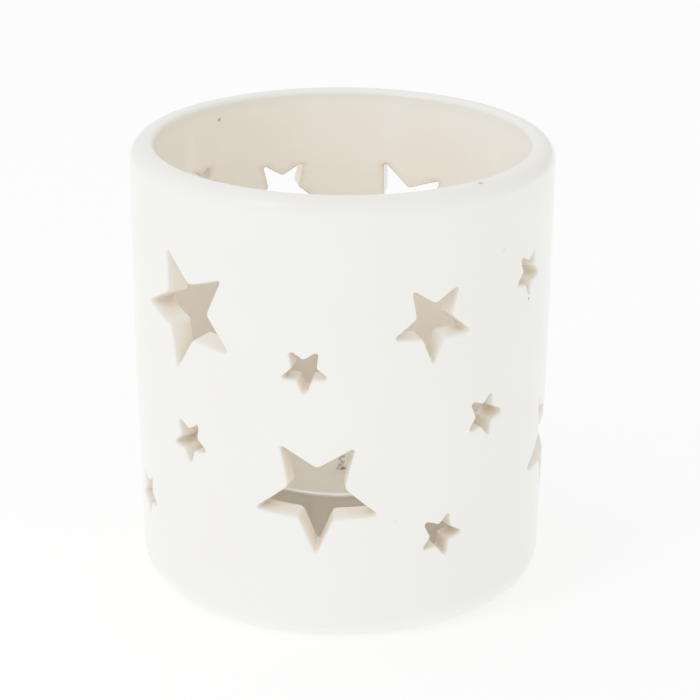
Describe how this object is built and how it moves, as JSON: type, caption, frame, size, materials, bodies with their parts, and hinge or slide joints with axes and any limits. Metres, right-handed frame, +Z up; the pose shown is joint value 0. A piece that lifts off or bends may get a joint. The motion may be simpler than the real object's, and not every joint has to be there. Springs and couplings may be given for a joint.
{
  "type": "tealight holder",
  "caption": "Round upright ceramic tealight holder with an open top, a rounded rim and star-shaped holes through its wall, holding a loose wax tealight in a metal cup.",
  "frame": {"origin": "middle of the flat foot ring that the holder stands on", "axes": "+Z up along the holder's axis, -Y towards the front, where the large low star is, +X to the right"},
  "size_m": [0.0742, 0.0742, 0.08],
  "materials": {
    "glazed_ceramic": "glossy warm white glaze, slightly beige where it runs thin",
    "aluminium_foil": "bright drawn sheet with fine flutes",
    "paraffin_wax": "satin, translucent ivory wax",
    "cotton_wick": "waxed braided cotton",
    "tinned_steel": "satin tinplate"
  },
  "bodies": {
    "holder": {"ceramic_body": "glazed_ceramic"},
    "tealight": {"tealight_cup": "aluminium_foil", "tealight_wax": "paraffin_wax", "wick": "cotton_wick", "wick_sustainer": "tinned_steel"}
  },
  "joints": [
    {"name": "tealight_lift", "type": "slide", "parent": "holder", "child": "tealight", "axis": [0, 0, 1], "range_m": [0, 0.09]}
  ]
}
